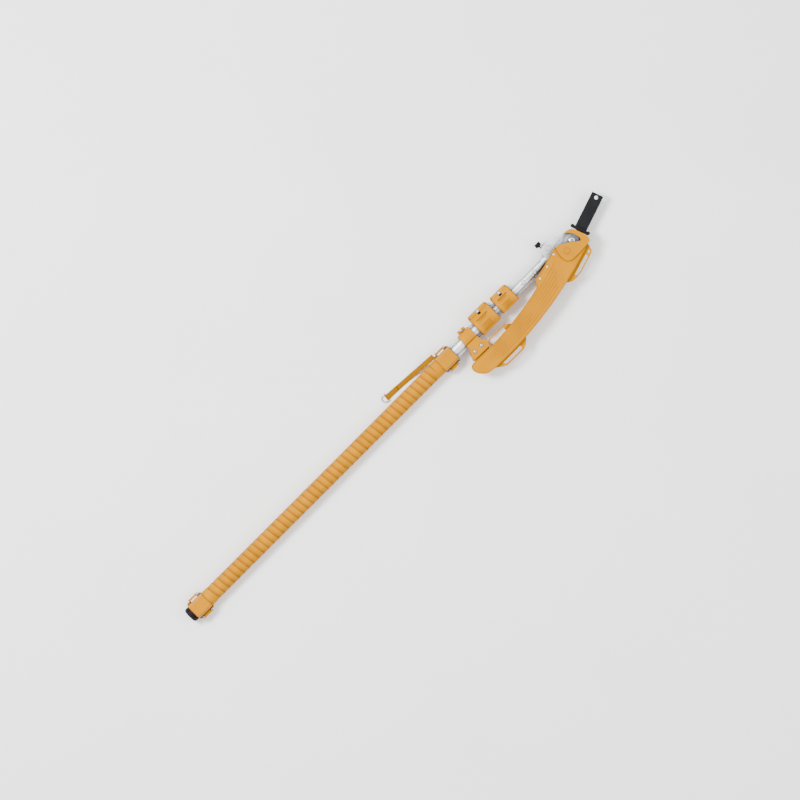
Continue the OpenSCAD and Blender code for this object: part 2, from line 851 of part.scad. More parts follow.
// the strap's side outline: the route moved up and down by half its thickness
function slope(p, i) = let (
    a = p[max(i - 1, 0)],
    b = p[min(i + 1, len(p) - 1)],
    n = norm(b - a)
) [-(b - a)[1] / n, (b - a)[0] / n];
function side_outline(p, t) = concat(
    [for (i = [0:len(p) - 1]) p[i] + slope(p, i) * t / 2],
    [for (i = [len(p) - 1:-1:0]) p[i] - slope(p, i) * t / 2]
);

// a shape drawn in the strap's side view, as wide as the strap
module strap_band(w) {
    strap_frame() translate([0, w / 2, 0]) rotate([90, 0, 0]) linear_extrude(w) children();
}

ring_s = loop_end;
ring_z = floor_z + 0.1 + loop_r;

module strap() {
    color("#d98f1b") difference() {
        union() {
            difference() {
                strap_band(strap_w) polygon(side_outline(strap_route, strap_t));
                translate([upper_collar_x, 0, 0])
                    for (x = [collar_screw_inset, collar_len - collar_screw_inset])
                        translate([x, collar_screw_y, -5]) cylinder(r = collar_screw_r, h = 10);
            }
            strap_band(strap_w) {
                polygon([
                    [loop_end - loop_len, floor_z + 0.1], [loop_end, floor_z + 0.1],
                    [loop_end, floor_z + 0.1 + 2 * loop_r], [loop_end - 5, floor_z + 4.4],
                    [loop_end - loop_len, floor_z + 3.4]
                ]);
                translate([ring_s, ring_z]) circle(r = loop_r);
            }
        }
        strap_band(strap_w + 2) translate([ring_s, ring_z]) circle(r = ring_wire + run_gap);
    }
}

module strap_ring() {
    bow_wire = ring_wire - 0.08;
    color("#b8b9bc") strap_frame() translate([ring_s, 0, ring_z]) rotate([0, ring_dip, 0]) {
        translate([0, ring_r + ring_wire, 0]) rotate([90, 0, 0])
            cylinder(r = ring_wire, h = 2 * (ring_r + ring_wire));
        for (s = [-1, 1]) translate([0, s * ring_r, 0]) rotate([0, 90, 0])
            cylinder(r = bow_wire, h = ring_leg);
        translate([ring_leg, 0, 0]) rotate([0, 0, -90]) rotate_extrude(angle = 180)
            translate([ring_r, 0]) circle(r = bow_wire);
    }
}

foot();
base_tube();
grip_sleeve();
lower_collar_front();
lower_collar_back();
lower_collar_screws();
upper_collar_front();
upper_collar_back();
upper_collar_screws();
sheath_bracket();
bracket_band();
bracket_screws();
cradle_back();
cradle_screws();
lower_lock_body();
lower_lever_pin();
lower_draw_bolt();
lower_lock_nut();
lower_lever();
mid_tube();
mid_guide_bush();
upper_lock_body();
upper_lever_pin();
upper_draw_bolt();
upper_lock_nut();
upper_lever();
tip_tube();
tip_guide_bush();
head_spigot();
head_rivets();
saw_head();
pivot_bolt();
pivot_washer();
pivot_nut();
saw_blade();
sheath_back();
sheath_spacer();
sheath_front();
sheath_rivets();
sheath_cap();
pole_side_loop();
tail_loop();
head_loop();
hang_tab();
tab_flange();
tab_screws();
plunger_knob();
plunger_pin();
plunger_spring();
plunger_nut();
lock_button();
button_spring();
strap();
strap_ring();
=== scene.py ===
"""Looks of the telescoping pole saw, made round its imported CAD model.

The pole lies along +X, the sheath is on the -Y side and the camera looks straight down at the tool.
Lengths are in millimetres until piece_from() turns them into metres, apart from those in the
camera, the materials, the floor and the lights.
"""

import json
import math

import bmesh
import bpy
from mathutils import Matrix, Vector


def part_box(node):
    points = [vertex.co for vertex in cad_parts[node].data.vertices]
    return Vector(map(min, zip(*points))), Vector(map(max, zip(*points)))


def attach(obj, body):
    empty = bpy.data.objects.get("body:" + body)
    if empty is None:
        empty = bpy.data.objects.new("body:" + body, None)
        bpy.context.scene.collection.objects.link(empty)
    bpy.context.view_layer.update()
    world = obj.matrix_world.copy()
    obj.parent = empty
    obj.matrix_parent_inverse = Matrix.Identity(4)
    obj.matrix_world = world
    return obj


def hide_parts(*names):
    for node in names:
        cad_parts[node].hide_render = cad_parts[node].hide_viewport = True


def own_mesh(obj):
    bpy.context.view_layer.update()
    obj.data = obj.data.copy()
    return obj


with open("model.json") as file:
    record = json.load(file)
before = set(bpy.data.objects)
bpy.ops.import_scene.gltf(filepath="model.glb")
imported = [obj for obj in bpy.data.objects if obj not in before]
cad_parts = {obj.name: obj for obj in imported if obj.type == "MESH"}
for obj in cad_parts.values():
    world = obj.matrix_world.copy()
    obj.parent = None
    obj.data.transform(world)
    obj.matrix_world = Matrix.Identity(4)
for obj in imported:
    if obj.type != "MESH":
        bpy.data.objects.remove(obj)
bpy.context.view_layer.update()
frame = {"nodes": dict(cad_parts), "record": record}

MM = 0.001


# ---- measures taken from the model ----

def node_box(name):
    """Lowest and highest corner of a CAD node, in millimetres."""
    low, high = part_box(name)
    return [v / MM for v in low], [v / MM for v in high]


FLOOR_Z = node_box("lower_collar_back")[0][2]
GRIP_LOW, GRIP_HIGH = node_box("grip_sleeve")
BASE_R = node_box("base_tube")[1][1]
TIP_R = node_box("tip_tube")[1][1]
FOOT_R = node_box("foot")[1][1]
SHEATH_TOP = node_box("sheath_front")[1][2]
# the casting's face lies just behind the sheath
CAST_FACE = node_box("sheath_back")[0][2] - 0.3
PIVOT_LOW, PIVOT_HIGH = node_box("pivot_bolt")

# the angle at which the strap leaves the pole's line
STRAP_TURN = math.radians(3.75)

# the sheath's two edges are arcs, each given by its lowest point and its radius
INNER_LOW, INNER_R = (840, -46), 700
OUTER_LOW, OUTER_R = (862, -85.5), 840


def arc_y(low, radius, x):
    """The height of one sheath edge at x."""
    return low[1] + radius - math.sqrt(radius * radius - (x - low[0]) ** 2)


# ---- camera ----

FRAME_WIDTH = 1.678
VIEW_CENTRE = Vector((0.633, 0.009, 0.0))
LENS, SENSOR = 160.0, 36.0
FAR_CLIP = 60.0


def make_camera():
    """A long lens straight above the tool, rolled so that the pole runs up to the right."""
    data = bpy.data.cameras.new("camera")
    data.lens, data.sensor_width = LENS, SENSOR
    camera = bpy.data.objects.new("camera", data)
    bpy.context.scene.collection.objects.link(camera)
    right = Vector((1, -1, 0)).normalized()
    up = Vector((1, 1, 0)).normalized()
    back = right.cross(up)
    turn = Matrix((right, up, back)).transposed().to_4x4()
    distance = FRAME_WIDTH * LENS / SENSOR
    camera.matrix_world = Matrix.Translation(VIEW_CENTRE + back * distance) @ turn
    data.clip_end = FAR_CLIP
    bpy.context.scene.camera = camera


make_camera()


# ---- materials ----

# the range that most values of a noise texture fall in
NOISE_LOW, NOISE_HIGH = 0.3, 0.7
# samples of the ambient occlusion behind the painted shade
OCCLUSION_SHADE_SAMPLES = 6


class Look:
    """A procedural material: a Principled shader fed by noise in the object's own metres."""

    def __init__(self, name, roughness, metallic=0.0, **fixed):
        self.material = bpy.data.materials.new(name)
        self.material.use_nodes = True
        self.tree = self.material.node_tree
        self.shader = self.tree.nodes["Principled BSDF"]
        self.shader.inputs["Metallic"].default_value = metallic
        self.shader.inputs["Roughness"].default_value = roughness
        for socket, value in fixed.items():
            self.shader.inputs[socket.replace("_", " ")].default_value = value
        self.place = self.tree.nodes.new("ShaderNodeTexCoord").outputs["Object"]
        self.height = None
        self.surface = None

    def link(self, a, b):
        self.tree.links.new(a, b)

    def noise(self, scale, stretch=(1, 1, 1), detail=3.0):
        mapping = self.tree.nodes.new("ShaderNodeMapping")
        mapping.inputs["Scale"].default_value = stretch
        texture = self.tree.nodes.new("ShaderNodeTexNoise")
        texture.inputs["Scale"].default_value = scale
        texture.inputs["Detail"].default_value = detail
        self.link(self.place, mapping.inputs["Vector"])
        self.link(mapping.outputs["Vector"], texture.inputs["Vector"])
        return texture.outputs["Fac"]

    def wave(self, scale, direction, turn=0.0):
        mapping = self.tree.nodes.new("ShaderNodeMapping")
        mapping.inputs["Rotation"].default_value = (0, 0, turn)
        texture = self.tree.nodes.new("ShaderNodeTexWave")
        texture.bands_direction = direction
        texture.inputs["Scale"].default_value = scale
        self.link(self.place, mapping.inputs["Vector"])
        self.link(mapping.outputs["Vector"], texture.inputs["Vector"])
        return texture.outputs["Fac"]

    def spread(self, source, low, high):
        """The source's middle range spread from low to high."""
        node = self.tree.nodes.new("ShaderNodeMapRange")
        node.inputs["From Min"].default_value = NOISE_LOW
        node.inputs["From Max"].default_value = NOISE_HIGH
        node.inputs["To Min"].default_value = low
        node.inputs["To Max"].default_value = high
        self.link(source, node.inputs["Value"])
        return node.outputs["Result"]

    def colour(self, source, dark, light):
        """A base colour that drifts between dark and light with the source."""
        ramp = self.tree.nodes.new("ShaderNodeValToRGB")
        ramp.color_ramp.elements[0].position = NOISE_LOW
        ramp.color_ramp.elements[0].color = (*dark, 1)
        ramp.color_ramp.elements[1].position = NOISE_HIGH
        ramp.color_ramp.elements[1].color = (*light, 1)
        self.link(source, ramp.inputs["Fac"])
        self.surface = ramp.outputs["Color"]
        self.link(self.surface, self.shader.inputs["Base Color"])

    def paint_shade(self, mask, tint):
        """Paints shade: blends the colour towards itself times tint, where mask is 1."""
        mix = self.tree.nodes.new("ShaderNodeMix")
        mix.data_type = "RGBA"
        mix.blend_type = "MULTIPLY"
        for socket in mix.inputs:
            if socket.type == "RGBA" and socket.name == "B":
                socket.default_value = (*tint, 1)
            if socket.type == "RGBA" and socket.name == "A":
                self.link(self.surface, socket)
        self.link(mask, mix.inputs["Factor"])
        for socket in mix.outputs:
            if socket.type == "RGBA":
                self.surface = socket
        self.link(self.surface, self.shader.inputs["Base Color"])

    def occlusion_shade(self, distance, low, high):
        """A mask that is 1 in corners that light hardly reaches, and 0 where the sky is open."""
        near = self.tree.nodes.new("ShaderNodeAmbientOcclusion")
        near.inputs["Distance"].default_value = distance
        near.samples = OCCLUSION_SHADE_SAMPLES
        node = self.tree.nodes.new("ShaderNodeMapRange")
        node.inputs["From Min"].default_value = low
        node.inputs["From Max"].default_value = high
        node.inputs["To Min"].default_value = 1.0
        node.inputs["To Max"].default_value = 0.0
        self.link(near.outputs["AO"], node.inputs["Value"])
        return node.outputs["Result"]

    def painted(self, name):
        """A mask kept on the mesh's own points."""
        node = self.tree.nodes.new("ShaderNodeAttribute")
        node.attribute_name = name
        return node.outputs["Fac"]

    def rough(self, source, low, high):
        self.link(self.spread(source, low, high), self.shader.inputs["Roughness"])

    def bump(self, source, depth, strength):
        node = self.tree.nodes.new("ShaderNodeBump")
        node.inputs["Strength"].default_value = strength
        node.inputs["Distance"].default_value = depth
        self.link(source, node.inputs["Height"])
        if self.height is not None:
            self.link(self.height, node.inputs["Normal"])
        self.height = node.outputs["Normal"]
        self.link(self.height, self.shader.inputs["Normal"])


def tinted(colour):
    """The colour at full strength, for sheen that keeps a dyed plastic's hue."""
    return (*(c / max(colour) for c in colour), 1)


def moulded(name, dark, light, roughness=0.38, grain=1500.0):
    """Moulded plastic: soft colour drift, a fine grain, faint handling marks, and painted shade in its
    creases.
    """
    look = Look(name, roughness, Specular_IOR_Level=0.12, Specular_Tint=tinted(light))
    look.colour(look.noise(28.0), dark, light)
    # painted shade: darker where ambient occlusion says light hardly reaches
    look.paint_shade(look.occlusion_shade(0.006, 0.4, 0.97), (0.36, 0.28, 0.25))
    look.rough(look.noise(90.0, detail=6.0), roughness - 0.07, roughness + 0.09)
    look.bump(look.noise(grain, detail=2.0), 0.00003, 0.5)
    look.bump(look.noise(45.0), 0.0002, 0.25)
    return look.material


def drawn_metal(name, dark, light, roughness, stretch=(0.03, 1, 1)):
    """Drawn or brushed metal: fine lines along one axis, and painted shade that makes it darker towards
    whatever it lies near.
    """
    look = Look(name, roughness, metallic=1.0)
    lines = look.noise(1400.0, stretch, 4.0)
    look.colour(look.noise(60.0, stretch), dark, light)
    # painted shade: dark edges and undersides near the floor and other parts
    look.paint_shade(look.occlusion_shade(0.045, 0.5, 0.98), (0.10, 0.11, 0.13))
    look.rough(lines, roughness - 0.06, roughness + 0.1)
    look.bump(lines, 0.000012, 0.5)
    return look.material


def cast_metal(name, dark, light):
    """A blasted casting with a little pitting, and painted shade in its hollows."""
    look = Look(name, 0.42, metallic=0.75)
    look.colour(look.noise(70.0, detail=5.0), dark, light)
    # painted shade: darker in hollows that light hardly reaches
    look.paint_shade(look.occlusion_shade(0.02, 0.45, 0.98), (0.22, 0.23, 0.25))
    look.rough(look.noise(300.0), 0.36, 0.5)
    look.bump(look.noise(1100.0, detail=4.0), 0.00006, 0.5)
    return look.material


def tape(name, dark, light):
    """Grippy wrapped tape with a fine pebbled face, and painted shade where each turn laps over the
    next.
    """
    look = Look(name, 0.62, Specular_IOR_Level=0.1, Specular_Tint=tinted(light))
    look.colour(look.noise(38.0, detail=5.0), dark, light)
    # painted shade along the step where one turn of tape laps over the next
    look.paint_shade(look.painted("painted_seam_shade"), (0.4, 0.3, 0.25))
    look.rough(look.noise(250.0), 0.52, 0.72)
    cells = look.tree.nodes.new("ShaderNodeTexVoronoi")
    cells.inputs["Scale"].default_value = 900.0
    look.link(look.place, cells.inputs["Vector"])
    look.bump(cells.outputs["Distance"], 0.00012, 0.45)
    return look.material


def woven(name, dark, light):
    """Webbing: warp cords along the strap crossed by weft."""
    look = Look(name, 0.78, Specular_IOR_Level=0.1, Specular_Tint=tinted(light))
    warp = look.wave(310.0, "Y", STRAP_TURN)
    weft = look.wave(420.0, "X", STRAP_TURN)
    weave = look.tree.nodes.new("ShaderNodeMath")
    weave.operation = "MULTIPLY"
    look.link(warp, weave.inputs[0])
    look.link(weft, weave.inputs[1])
    look.colour(weave.outputs[0], dark, light)
    look.rough(look.noise(500.0), 0.7, 0.86)
    look.bump(weave.outputs[0], 0.00025, 0.8)
    return look.material


# for each material slot: the kind of material, its darkest and lightest colour, then what else it takes
LOOKS = {
    "orange_shell": (moulded, (0.42, 0.166, 0.00005), (0.48, 0.192, 0.0001)),
    "orange_lever": (moulded, (0.43, 0.170, 0.00005), (0.49, 0.197, 0.0001), 0.33),
    "grip_tape": (tape, (0.41, 0.162, 0.00005), (0.50, 0.204, 0.0001)),
    "black_plastic": (moulded, (0.004, 0.004, 0.0045), (0.009, 0.009, 0.010), 0.45),
    "black_rubber": (moulded, (0.004, 0.0035, 0.004), (0.010, 0.008, 0.010), 0.6, 700.0),
    "dark_nylon": (moulded, (0.03, 0.03, 0.035), (0.05, 0.05, 0.055), 0.5),
    "tube_alloy": (drawn_metal, (0.72, 0.73, 0.75), (0.86, 0.87, 0.88), 0.3),
    "cast_alloy": (cast_metal, (0.58, 0.59, 0.61), (0.74, 0.75, 0.77)),
    "zinc_steel": (drawn_metal, (0.52, 0.53, 0.55), (0.68, 0.69, 0.71), 0.34, (1, 1, 1)),
    "blade_steel": (drawn_metal, (0.62, 0.63, 0.65), (0.78, 0.79, 0.80), 0.28, (1, 0.03, 1)),
    "spring_steel": (drawn_metal, (0.35, 0.35, 0.37), (0.5, 0.5, 0.52), 0.3, (1, 1, 1)),
    "webbing": (woven, (0.24, 0.096, 0.0002), (0.42, 0.178, 0.0004)),
}
looks = {name: make(name, *values) for name, (make, *values) in LOOKS.items()}


# ---- mesh building ----

def piece_from(mesh_data, name, look, body):
    """A new smooth object in metres from a bmesh in millimetres, riding on a body."""
    bmesh.ops.scale(mesh_data, vec=(MM, MM, MM), verts=mesh_data.verts)
    bmesh.ops.recalc_face_normals(mesh_data, faces=mesh_data.faces)
    mesh = bpy.data.meshes.new(name)
    mesh_data.to_mesh(mesh)
    mesh_data.free()
    for face in mesh.polygons:
        face.use_smooth = True
    piece = bpy.data.objects.new(name, mesh)
    bpy.context.scene.collection.objects.link(piece)
    piece.data.materials.append(looks[look])
    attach(piece, body)
    return piece


def join_rings(mesh_data, rings, closed=False):
    """Quads between neighbouring rings of the same size, with the two ends filled unless closed."""
    rows = [[mesh_data.verts.new(p) for p in ring] for ring in rings]
    pairs = list(zip(rows, rows[1:] + rows[:1])) if closed else list(zip(rows, rows[1:]))
    for a, b in pairs:
        for i in range(len(a)):
            j = (i + 1) % len(a)
            mesh_data.faces.new((a[i], a[j], b[j], b[i]))
    if not closed:
        mesh_data.faces.new(rows[0][::-1])
        mesh_data.faces.new(rows[-1])


def tube_along(mesh_data, path, radius, sides, up=Vector((0, 0, 1))):
    """A round bar along a path that never runs along up. radius may be a list, one for each point."""
    points = [Vector(p) for p in path]
    rings = []
    for i, p in enumerate(points):
        before = points[max(i - 1, 0)]
        after = points[min(i + 1, len(points) - 1)]
        along = (after - before).normalized()
        side = along.cross(up).normalized()
        top = side.cross(along)
        r = radius[i] if isinstance(radius, list) else radius
        rings.append([
            p + side * r * math.cos(a) + top * r * math.sin(a)
            for a in (2 * math.pi * k / sides for k in range(sides))
        ])
    join_rings(mesh_data, rings)


def lathe(mesh_data, profile, centre, axis="Z", steps=48, shape=None):
    """A closed ring turned about Z or X from (radius, height) points.

    shape, if given, bends a point's radius by its index and its angle.
    """
    turn = Matrix.Identity(3) if axis == "Z" else Matrix.Rotation(math.pi / 2, 3, "Y")
    rings = []
    for k in range(steps):
        a = 2 * math.pi * k / steps
        ring = []
        for i, (r, h) in enumerate(profile):
            r = shape(i, a, r) if shape else r
            ring.append(turn @ Vector((r * math.cos(a), r * math.sin(a), h)) + Vector(centre))
        rings.append(ring)
    join_rings(mesh_data, rings, closed=True)


def smooth_route(points, steps=6):
    """A Catmull-Rom curve through given points."""
    points = [Vector(p) for p in points]
    ends = [points[0] * 2 - points[1]] + points + [points[-1] * 2 - points[-2]]
    out = []
    for a, b, c, d in zip(ends, ends[1:], ends[2:], ends[3:]):
        for k in range(steps):
            t = k / steps
            out.append(0.5 * (2 * b + (c - a) * t + (2 * a - 5 * b + 4 * c - d) * t * t
                              + (3 * b - a - 3 * c + d) * t ** 3))
    out.append(points[-1])
    return out


# ---- tether strap ----

STRAP_FROM = (743.4, 24.4)
STRAP_WIDTH = 11.0
WEB_T = 1.3
LIE_Z = -19.65
LOOP_END = 126.0
LOOP_MID_R = 2.1
LOOP_TOP_Z = -18.05
RING_Z = FLOOR_Z + 3.0
# (s, z) points: out of the collar, down to the ground and along it
STRAP_ROUTE = [(-4, 0), (0, 0), (8, -0.5), (18, -2.8), (30, -7.4), (43, -13),
               (55, -17), (68, -19.1), (82, -19.6), (92, -19.6), (106, LIE_Z), (120, LIE_Z)]
STITCH_R = 0.22
CROSS_SEAMS = (98, 112)
EDGE_SEAMS = (-4.4, 4.4)


def strap_point(s, t, z):
    """A point s along the strap from the collar and t across it, in the row frame."""
    turn = math.pi - STRAP_TURN
    return Vector((STRAP_FROM[0] + s * math.cos(turn) - t * math.sin(turn),
                   STRAP_FROM[1] + s * math.sin(turn) + t * math.cos(turn), z))


def web(mesh_data, route):
    """A flat woven band along a route of (s, z) points, with a rounded selvedge on each side."""
    half = STRAP_WIDTH / 2
    edge = WEB_T / 2
    section = []
    for side, start in ((1, -90), (-1, 90)):
        for step in range(5):
            a = math.radians(start + 45 * step)
            section.append((side * (half - edge) + edge * math.cos(a), edge * math.sin(a)))
    # more points across the upper face, between the two selvedges
    section[5:5] = [(half - edge - k * (STRAP_WIDTH - WEB_T) / 7, edge) for k in range(1, 7)]
    rings = []
    for i, p in enumerate(route):
        a = route[max(i - 1, 0)]
        b = route[min(i + 1, len(route) - 1)]
        along = (b - a).normalized()
        normal = Vector((-along.y, along.x))
        rings.append([strap_point(p.x + normal.x * n, t, p.y + normal.y * n) for t, n in section])
    join_rings(mesh_data, rings)


def make_strap():
    """The webbing, its end sewn back round the ring's bar, and the cord that they stand for."""
    route = smooth_route(STRAP_ROUTE)
    mesh_data = bmesh.new()
    web(mesh_data, route)
    strap = piece_from(mesh_data, "strap_webbing", "webbing", "handle")
    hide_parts("strap")

    turn_back = [Vector((96, -18.1)), Vector((108, LOOP_TOP_Z)), Vector((117, -17.3))]
    bend = [Vector((LOOP_END + LOOP_MID_R * math.sin(a), RING_Z + LOOP_MID_R * math.cos(a)))
            for a in (math.radians(d) for d in range(-15, 196, 15))]
    tail = [Vector((LOOP_END - 5.6, LIE_Z))]
    mesh_data = bmesh.new()
    web(mesh_data, smooth_route(turn_back + bend + tail, 3))
    loop = piece_from(mesh_data, "strap_loop", "webbing", "handle")

    mesh_data = bmesh.new()
    z = LOOP_TOP_Z + WEB_T / 2
    for s in CROSS_SEAMS:
        for k in range(-6, 6):
            t = k * 0.75
            ends = [strap_point(s, t + 0.1, z), strap_point(s, t + 0.65, z)]
            tube_along(mesh_data, ends, STITCH_R, 6)
    for t in EDGE_SEAMS:
        for k in range(16):
            s = CROSS_SEAMS[0] + 0.4 + k * 0.85
            ends = [strap_point(s, t, z), strap_point(s + 0.6, t, z)]
            tube_along(mesh_data, ends, STITCH_R, 6)
    stitches = piece_from(mesh_data, "strap_stitches", "webbing", "handle")


make_strap()


# ---- wrapped grip ----

WRAP_PITCH = 14.6
WRAP_SIDES = 44
BAND_LEN = 15.0
HARD_ANGLE = math.radians(40)
# how much painted shade each point of the tape's section takes, from its lapped edge to its free edge
SEAM_SHADE = (1, 1, 0.55, 0, 0, 0.25, 0.8, 1, 1)


def edge_split(piece):
    """Keeps hard corners hard on a smooth piece."""
    split = piece.modifiers.new("hard_edges", "EDGE_SPLIT")
    split.split_angle = HARD_ANGLE


def make_grip():
    """Tape wound round the base tube in one helix, with a plain band round each end."""
    x0, x1 = GRIP_LOW[0], GRIP_HIGH[0]
    top = GRIP_HIGH[1]
    under = BASE_R + 0.05
    # section of the tape as (along the pole, radius): each turn laps over the edge of the next one
    section = [
        (0, under), (0, top - 1.05), (0.5, top - 0.85), (WRAP_PITCH * 0.5, top - 0.6),
        (WRAP_PITCH - 1.6, top - 0.32), (WRAP_PITCH - 0.7, top - 0.2), (WRAP_PITCH, top - 0.26),
        (WRAP_PITCH + 0.25, top - 0.5), (WRAP_PITCH + 0.25, under),
    ]
    turns = (x1 - x0 - WRAP_PITCH - 1) / WRAP_PITCH
    rings = []
    for k in range(int(turns * WRAP_SIDES) + 1):
        a = 2 * math.pi * k / WRAP_SIDES
        x = x0 + 0.3 + WRAP_PITCH * k / WRAP_SIDES
        rings.append([(x + dx, r * math.cos(a), r * math.sin(a)) for dx, r in section])
    mesh_data = bmesh.new()
    join_rings(mesh_data, rings)
    for start in (x0 + 0.1, x1 - BAND_LEN - 0.1):
        end = start + BAND_LEN
        band = [(under, start), (top - 0.25, start), (top - 0.02, start + 0.5),
                (top - 0.02, end - 0.5), (top - 0.25, end), (under, end)]
        lathe(mesh_data, band, (0, 0, 0), "X")
    grip = piece_from(mesh_data, "grip_wrap", "grip_tape", "handle")
    # the painted shade from SEAM_SHADE, kept on the tape's points
    painted_seam_shade = grip.data.attributes.new("painted_seam_shade", "FLOAT", "POINT")
    for index in range(len(rings) * len(section)):
        painted_seam_shade.data[index].value = SEAM_SHADE[index % len(section)]
    edge_split(grip)
    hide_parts("grip_sleeve")


make_grip()


# ---- sheath ribs and rim ----

# where each rib lies, as a share of the way from the inner edge to the outer edge
RIB_PLACES = (0.14, 0.27, 0.40, 0.53, 0.66, 0.79)
RIB_FROM, RIB_TO = 812.0, 1076.0
RIB_R, RIB_SINK = 0.75, 0.15
RIB_STEPS = 44
RIM_R, RIM_INSET = 0.8, 1.0


def make_sheath_details():
    """Ribs that run with the sheath's curve, tapered at both ends, and a rounded rim."""
    mesh_data = bmesh.new()
    for place, share in enumerate(RIB_PLACES):
        start = RIB_FROM + 9 * abs(place - 2.5)
        stop = RIB_TO - 6 * place
        path = []
        for k in range(RIB_STEPS + 1):
            x = start + (stop - start) * k / RIB_STEPS
            y = arc_y(INNER_LOW, INNER_R, x) * (1 - share) + arc_y(OUTER_LOW, OUTER_R, x) * share
            path.append((x, y, SHEATH_TOP - RIB_SINK))
        radius = [RIB_R * min(1, (k + 0.4) / 4, (RIB_STEPS - k + 0.4) / 4)
                  for k in range(RIB_STEPS + 1)]
        tube_along(mesh_data, path, radius, 10)
    piece_from(mesh_data, "sheath_ribs", "orange_shell", "tip")

    inner = [(x, arc_y(INNER_LOW, INNER_R, x) - RIM_INSET) for x in range(998, 799, -11)]
    outer = [(x, arc_y(OUTER_LOW, OUTER_R, x) + RIM_INSET) for x in range(818, 1138, 16)]
    shoulder = [(1087, 4), (1081, 3.3), (1071, 0.8), (1050, -5.7), (1029, -11), (1015, -13.3),
                (1010.8, -15.6), (1007.4, -20.6), (1003.6, -26.4)]
    tail = [(794.3, -46.3), (789.6, -47.6), (787.4, -50.2), (785.8, -56), (787, -62.2),
            (790.8, -69.8), (798.5, -77.4), (806.4, -80.9)]
    rim = smooth_route([(x, y, SHEATH_TOP) for x, y in shoulder + inner + tail + outer], 2)
    mesh_data = bmesh.new()
    tube_along(mesh_data, rim, RIM_R, 10)
    piece_from(mesh_data, "sheath_rim", "orange_shell", "tip")


make_sheath_details()


# ---- screw heads ----

# radius of the socketed head over each of a node's screws
SCREWS = {
    "lower_collar_screws": 3.0,
    "upper_collar_screws": 3.0,
    "bracket_screws": 3.0,
    "cradle_screws": 2.9,
}
SCREW_RISE = 0.9
# corners of one node's mesh that are nearer than this belong to the same screw
SCREW_REACH = 7


def screw_head(mesh_data, at, z, radius, rise):
    """A domed head with a six-sided socket, standing over a plain head of the same radius."""
    def hexagon(index, angle, r):
        if index < 5:
            return r
        return r * math.cos(math.pi / 6) / math.cos((angle % (math.pi / 3)) - math.pi / 6)
    side, floor = radius + 0.08, z + 0.06
    profile = [(radius * 0.3, z - 1.0), (side, z - 1.0), (side, z + rise * 0.35),
               (radius * 0.84, z + rise * 0.85), (radius * 0.62, z + rise),
               (radius * 0.55, z + rise), (radius * 0.5, floor), (radius * 0.3, floor)]
    lathe(mesh_data, profile, (at[0], at[1], 0), "Z", 36, hexagon)


def screw_places(node):
    """Centres of a node's separate screws in plan, found from its own mesh."""
    groups = []
    for corner in (v.co / MM for v in frame["nodes"][node].data.vertices):
        for group in groups:
            if max(abs(group[0].x - corner.x), abs(group[0].y - corner.y)) < SCREW_REACH:
                group.append(corner)
                break
        else:
            groups.append([corner])
    places = []
    for group in groups:
        xs = [c.x for c in group]
        ys = [c.y for c in group]
        places.append(((min(xs) + max(xs)) / 2, (min(ys) + max(ys)) / 2))
    return places


def make_screw_heads():
    """Heads with sockets over every screw whose head shows from the front."""
    for node, radius in SCREWS.items():
        mesh_data = bmesh.new()
        top = node_box(node)[1][2]
        for at in screw_places(node):
            screw_head(mesh_data, at, top, radius, SCREW_RISE)
        name = node.removesuffix("s") + "_heads"
        edge_split(piece_from(mesh_data, name, "zinc_steel", "handle"))


make_screw_heads()


# ---- saw head, tube and foot details ----

PLUNGER_BOSS = (1077, 15.2, 0)
SMALL_BOSS = (1115, 10.4, 0)
CAST_RIDGE = [(1066, 6.5), (1074, 5.5), (1086, 8.6), (1098, 10.8), (1107, 10)]
CRIMPS_X = (1000.5, 1004.2, 1007.9, 1011.6)
TREADS_X = (6.4, 8.4, 10.4)


def make_pivot_socket():
    """A socketed dome over the plain head of the pivot bolt."""
    x = (PIVOT_LOW[0] + PIVOT_HIGH[0]) / 2
    y = (PIVOT_LOW[1] + PIVOT_HIGH[1]) / 2
    mesh_data = bmesh.new()
    screw_head(mesh_data, (x, y), PIVOT_HIGH[2], 6.3, 1.4)
    edge_split(piece_from(mesh_data, "pivot_socket", "zinc_steel", "tip"))


def make_head_bosses():
    """Two raised rings and a ridge on the casting's face."""
    face = CAST_FACE
    mesh_data = bmesh.new()
    boss = [(4.6, face - 0.4), (4.6, face + 0.7), (5.0, face + 1.0), (6.0, face + 1.0),
            (6.4, face + 0.7), (6.4, face - 0.4)]
    lathe(mesh_data, boss, PLUNGER_BOSS)
    small = [(0.8, face - 0.4), (0.8, face + 0.5), (1.0, face + 0.7), (2.0, face + 0.6),
             (2.3, face + 0.2), (2.3, face - 0.4)]
    lathe(mesh_data, small, SMALL_BOSS, steps=24)
    path = smooth_route([(x, y, face - 0.1) for x, y in CAST_RIDGE], 6)
    tube_along(mesh_data, path, 0.9, 8)
    piece_from(mesh_data, "head_bosses", "cast_alloy", "tip")


def make_tube_crimps():
    """Short raised bars across the front of the head tube."""
    mesh_data = bmesh.new()
    for x in CRIMPS_X:
        arc = [(x, TIP_R * math.sin(a), TIP_R * math.cos(a) - 0.1)
               for a in (math.radians(d) for d in range(-26, 27, 4))]
        radius = [0.62 * min(1, (k + 0.6) / 2, (len(arc) - k - 0.4) / 2) for k in range(len(arc))]
        tube_along(mesh_data, arc, radius, 8, up=Vector((1, 0, 0)))
    piece_from(mesh_data, "tube_crimps", "tube_alloy", "tip")


def make_foot_treads():
    """Raised rings round the side of the foot."""
    mesh_data = bmesh.new()
    low, high = FOOT_R - 0.3, FOOT_R + 0.25
    for x in TREADS_X:
        tread = [(low, x - 0.5), (high, x - 0.3), (high, x + 0.3), (low, x + 0.5)]
        lathe(mesh_data, tread, (0, 0, 0), "X", 56)
    piece_from(mesh_data, "foot_treads", "black_rubber", "handle")


make_pivot_socket()
make_head_bosses()
make_tube_crimps()
make_foot_treads()


# ---- lever grip bars ----

# first and last angle of the bars on each of a lever's two panels, and the step between bars
BAR_PANELS = ((18, 42), (-32, -6))
BAR_STEP = 6
BAR_SINK = 0.75


